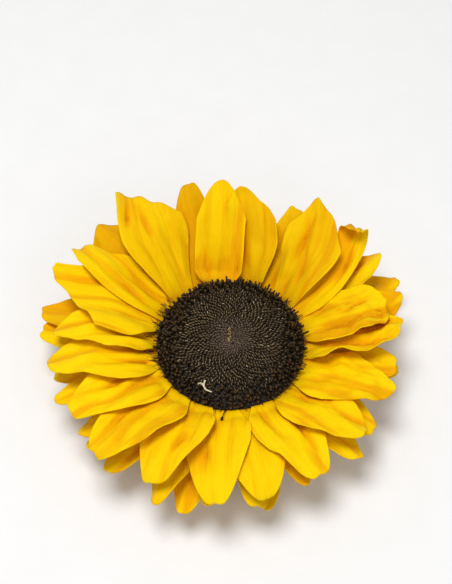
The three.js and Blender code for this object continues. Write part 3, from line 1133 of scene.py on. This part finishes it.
discLook = {
    "middle": (0.19, 0.135, 0.1),
    # the first of each three is the foot colour, partly painted shade deep between the florets
    "mouth": ((0.024, 0.014, 0.008), (0.06, 0.04, 0.022), (0.1, 0.068, 0.038)),
    "fold": ((0.04, 0.025, 0.012), (0.12, 0.08, 0.038), (0.26, 0.18, 0.085)),
    "fleck": (0.55, 0.43, 0.28),
    "open": ((0.01, 0.006, 0.002), (0.032, 0.018, 0.006), (0.09, 0.05, 0.017)),
    "stigma": ((0.012, 0.007, 0.003), (0.07, 0.032, 0.008), (0.26, 0.11, 0.02)),
    "rimStigma": ((0.02, 0.008, 0.004), (0.22, 0.07, 0.01), (0.6, 0.26, 0.03)),
    "tuft": ((0.05, 0.03, 0.01), (0.3, 0.2, 0.06), (0.6, 0.45, 0.16)),
    "cream": ((0.45, 0.36, 0.2), (0.68, 0.6, 0.4), (0.8, 0.72, 0.5)),
}


def makeDisc():
    fleck = discLook["fleck"]
    mouths = floretFinish("floretMouth", *discLook["mouth"], 0.65, fleck)
    folds = floretFinish("floretFold", *discLook["fold"], 0.55, fleck)
    dark = floretFinish("openFloret", *discLook["open"], 0.6)
    bud = makeBud()
    foldMasters = [makeFold(*plan) for plan in discPlan["folds"]]
    anthers = [makeAnther(*plan) for plan in discPlan["anthers"]]
    closed, upright, opened = [], [], []
    draw = seeded(7)
    pit = Vector(discPlan["pit"])
    for i in range(discPlan["count"]):
        reach = discPlan["spread"] * ((i + 0.5) / discPlan["count"]) ** discPlan["crowding"]
        turn = i * goldenAngle
        x = reach * math.cos(turn) + draw(-1, 1) * discPlan["stray"]
        y = reach * math.sin(turn) + draw(-1, 1) * discPlan["stray"]
        radius, angle, tone = math.hypot(x, y), math.atan2(y, x), draw(0, 1)
        patch = noise.noise(Vector((x / 6, y / 6, 3)))
        openness = (radius - discPlan["closedTo"]) / (discPlan["openFrom"] - discPlan["closedTo"])
        if (pit - Vector((x, y))).length < 1:
            continue
        if openness + 0.4 * patch < draw(0, 1):
            grow = mix(0.72, 1.04, radius / discPlan["openFrom"])
            size = (grow, grow, draw(0.8, 1.1))
            closed.append(copyOf(bud, discMatrix(radius, angle, -0.1, draw(0, 1), size), tone))
            spin = 0.9 * noise.noise(Vector((x / 7, y / 7, 11))) + draw(-0.5, 0.5)
            size = (grow * draw(0.75, 1.15), grow, draw(0.75, 1.15) * mix(0.7, 1, ease(2, 9, radius)))
            place = discMatrix(radius, angle + 0.62 / max(radius, 1), 0.1, spin, size)
            upright.append(copyOf(foldMasters[int(draw(0, 2.999))], place, tone))
        else:
            leanFrom = discPlan["leanFrom"]
            out = max(0, (radius - leanFrom) / (discPlan["spread"] - leanFrom))
            size = draw(0.7, 1.25)
            lean = mix(0, 0.75, out**2) + draw(-0.45, 0.45)
            angle += draw(-0.02, 0.02)
            spin = draw(0, 6.28)
            place = discMatrix(radius, angle, lean, spin, (size, size, size * draw(0.7, 1.1)), 0.3)
            opened.append(copyOf(anthers[int(draw(0, 2.999))], place, tone))
    core = makeDiscCore()
    # the dome takes the open florets' dark foot colour: painted shade in the gaps between the florets
    core.data.materials.append(dark)
    inner, outer = makeStigmas()
    for name, copies, material in (
        ("florets_closed", closed, mouths),
        ("floret_folds", upright, folds),
        ("florets_open", opened + [makeStray()], dark),
        ("stigmas", inner, floretFinish("stigma", *discLook["stigma"], 0.5)),
        ("rim_stigmas", outer, floretFinish("rimStigma", *discLook["rimStigma"], 0.5)),
        ("young_tuft", makeTuft(foldMasters[0]), floretFinish("youngFloret", *discLook["tuft"], 0.5)),
        ("cream_scraps", makeScraps(), floretFinish("creamScrap", *discLook["cream"], 0.6)),
    ):
        piece = joinAs(name, copies)
        piece.data.materials.clear()
        piece.data.materials.append(material)
        smooth(piece, 50)
        handIn(piece, "disc_florets")
    smooth(core)
    handIn(core, "disc_florets")
    discard(bud, *foldMasters, *anthers)
    print("florets:", len(closed), "closed,", len(opened), "open")


makeDisc()

# Receptacle and bracts

bractPlan = {
    "rings": [
        {
            "count": 13, "turn": 4, "rootRadius": 20, "rootHeight": 8.6,
            "reach": 32, "width": 13, "rise": -6, "fall": -23,
        },
        {
            "count": 13, "turn": 18, "rootRadius": 26, "rootHeight": 13.8,
            "reach": 31, "width": 14, "rise": -4, "fall": -20,
        },
    ],
    "thickness": 0.9,
    "rows": 30,
    "columns": 12,
    "hairs": 34,  # along the two edges of each bract
    "hairLength": (0.8, 1.9),
    "hairThickness": 0.14,
}
bodyProfile = [
    (8.5, 0), (8.7, 1.4), (8.9, 3), (10, 4.6), (12, 6), (15, 7.4), (18.5, 8.6), (22, 10.2),
    (25.5, 12), (27.6, 13.6), (29, 15.2), (29.8, 17.4), (25.9, 17.5), (25.9, 21.6),
]
greenLook = {
    "low": (0.1, 0.17, 0.03),
    "high": (0.2, 0.3, 0.06),
    "rib": (0.3, 0.4, 0.12),
    "hair": ((0.3, 0.36, 0.16), (0.62, 0.64, 0.46)),
    "pith": ((0.5, 0.53, 0.3), (0.76, 0.76, 0.56)),
    "rind": (0.22, 0.33, 0.08),
}


def greenFinish():
    finish = Finish("bractGreen", **{"Sheen Weight": 0.15, "Specular IOR Level": 0.4})
    along, across = finish.sheetPlace()
    tone = finish.attribute("tone")
    strands = finish.noise(finish.vector(along * 3, across * 22, tone * 31), 1.0, 3.0)
    clouds = finish.noise(finish.objectPlace(), 140)
    colour = finish.blend(greenLook["low"], greenLook["high"], clouds.between(0.3, 0.7))
    colour = finish.blend(colour, greenLook["rib"], strands.between(0.52, 0.7) * 0.6)
    grain = finish.noise(finish.objectPlace(), 1500)
    height = strands * 0.7 + grain * 0.3
    finish.feed(Base_Color=colour, Roughness=0.5 + 0.2 * clouds, Normal=finish.bump(height, 0.0004, 0.7))
    return finish.material


def bractSheet(bract):
    path = Midline(bract)

    def sheet(along, across):
        outline = (1 - along**1.5) ** 1.15 * mix(0.7, 1, ease(0, 0.35, along))
        half = max(0.35, bract["width"] / 2 * outline)
        keel = 0.22 * half * abs(across) - 0.3 * ease(0.25, 0, abs(across)) * (1 - along)
        wave = 0.5 * math.sin(9 * along + bract["phase"] + across) * abs(across) * ease(0.1, 0.5, along)
        point = path.place(along, half * across, keel + wave)
        point.z = max(point.z, 0.5)
        return point, 0

    return sheet


def makeBracts(material):
    draw = seeded(5)
    looks = seeded(55)
    blank = makeBlank("bract_blank", bractPlan["rows"], bractPlan["columns"])
    blades, sheets = [], []
    for ring in bractPlan["rings"]:
        for i in range(ring["count"]):
            bract = {**ring, "flick": 0, "flickFrom": 0.86, "twist": 0}
            bract["at"] = ring["turn"] + 360 * i / ring["count"] + draw(-3, 3)
            bract["skew"] = draw(-6, 6)
            bract["sweep"] = draw(-16, 16)
            bract["tip"] = draw(0, 10)
            bract["roll"] = draw(-6, 6)
            bract["reach"] = ring["reach"] + draw(-3, 2)
            bract["phase"] = looks(0, 6)
            sheets.append(bractSheet(bract))
            blades.append(bendBlank(blank, sheets[-1], looks(0, 1)))
    discard(blank)
    bracts = joinAs("bracts", blades)
    bracts.data.materials.append(material)
    modify(bracts, "SOLIDIFY", thickness=bractPlan["thickness"] * mm, offset=0, use_quality_normals=True)
    smooth(bracts)
    handIn(bracts, "receptacle")
    makeHairs(sheets)


def makeHairs(sheets):
    # stiff pale hairs that stand out from the edges of the bracts and lean to their tips
    size = bractPlan["hairThickness"] / 2 * mm
    bpy.ops.mesh.primitive_cone_add(vertices=3, radius1=size, depth=mm, location=(0, 0, 0.5 * mm))
    hair = bpy.context.object
    applyPlace(hair)
    draw = seeded(77)
    hairs = []
    for sheet in sheets:
        for i in range(bractPlan["hairs"]):
            side = 1 if i % 2 else -1
            along = mix(0.08, 0.92, i / bractPlan["hairs"])
            root = sheet(along, side)[0]
            outward = (root - sheet(along, 0.5 * side)[0]).normalized()
            onward = (sheet(along + 0.05, side)[0] - root).normalized()
            lean = outward + onward * draw(0.1, 1.2) + Vector((0, 0, draw(-0.4, 0.4)))
            length = draw(*bractPlan["hairLength"])
            if root.z + lean.normalized().z * length > 0.1:
                turn = lean.to_track_quat("Z", "Y").to_matrix().to_4x4()
                place = Matrix.Translation(root * mm) @ turn @ Matrix.Diagonal((1, 1, length, 1))
                hairs.append(copyOf(hair, place, draw(0, 1)))
    discard(hair)
    hairs = joinAs("bract_hairs", hairs)
    finish = Finish("bractHair", Roughness=0.45)
    finish.feed(Base_Color=finish.blend(*greenLook["hair"], finish.attribute("tone")))
    hairs.data.materials.append(finish.material)
    smooth(hairs)
    handIn(hairs, "receptacle")


def pithFinish():
    # the cut face: pale pith with a green rind
    finish = Finish("pith", Roughness=0.8)
    grain = finish.noise(finish.objectPlace(), 1800, 3.0)
    colour = finish.blend(*greenLook["pith"], grain.between(0.35, 0.65))
    colour = finish.blend(colour, greenLook["rind"], finish.axisDistance().between(0.0062, 0.0082))
    finish.feed(Base_Color=colour, Normal=finish.bump(grain, 0.0004, 0.8))
    return finish.material


def makeReceptacle(material):
    # a disc at the cut face, extruded and widened up the profile
    bpy.ops.mesh.primitive_circle_add(vertices=96, radius=bodyProfile[0][0] * mm, fill_type="NGON")
    body = bpy.context.object
    body.name = "receptacle_body"
    bpy.ops.object.mode_set(mode="EDIT")
    for (radius, height), (nextRadius, nextHeight) in zip(bodyProfile, bodyProfile[1:]):
        step = (0, 0, (nextHeight - height) * mm)
        bpy.ops.mesh.extrude_region_move(TRANSFORM_OT_translate={"value": step})
        share = nextRadius / radius
        bpy.ops.transform.resize(value=(share, share, 1))
    bpy.ops.mesh.select_all(action="SELECT")
    bpy.ops.mesh.normals_make_consistent(inside=False)
    bpy.ops.object.mode_set(mode="OBJECT")
    setTone(body.data, 0.5)
    body.data.materials.append(material)
    body.data.materials.append(pithFinish())
    for face in body.data.polygons:
        face.material_index = 1 if face.normal.z < -0.9 and face.center.z < mm else 0
    smooth(body, 40)
    handIn(body, "receptacle")


def makeGreenParts():
    green = greenFinish()
    makeBracts(green)
    makeReceptacle(green)
    print("bracts and receptacle")


makeGreenParts()

boxes = {"cad": cadBox, "visual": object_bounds()}
{name: [list(corner) for corner in box] for name, box in boxes.items()}
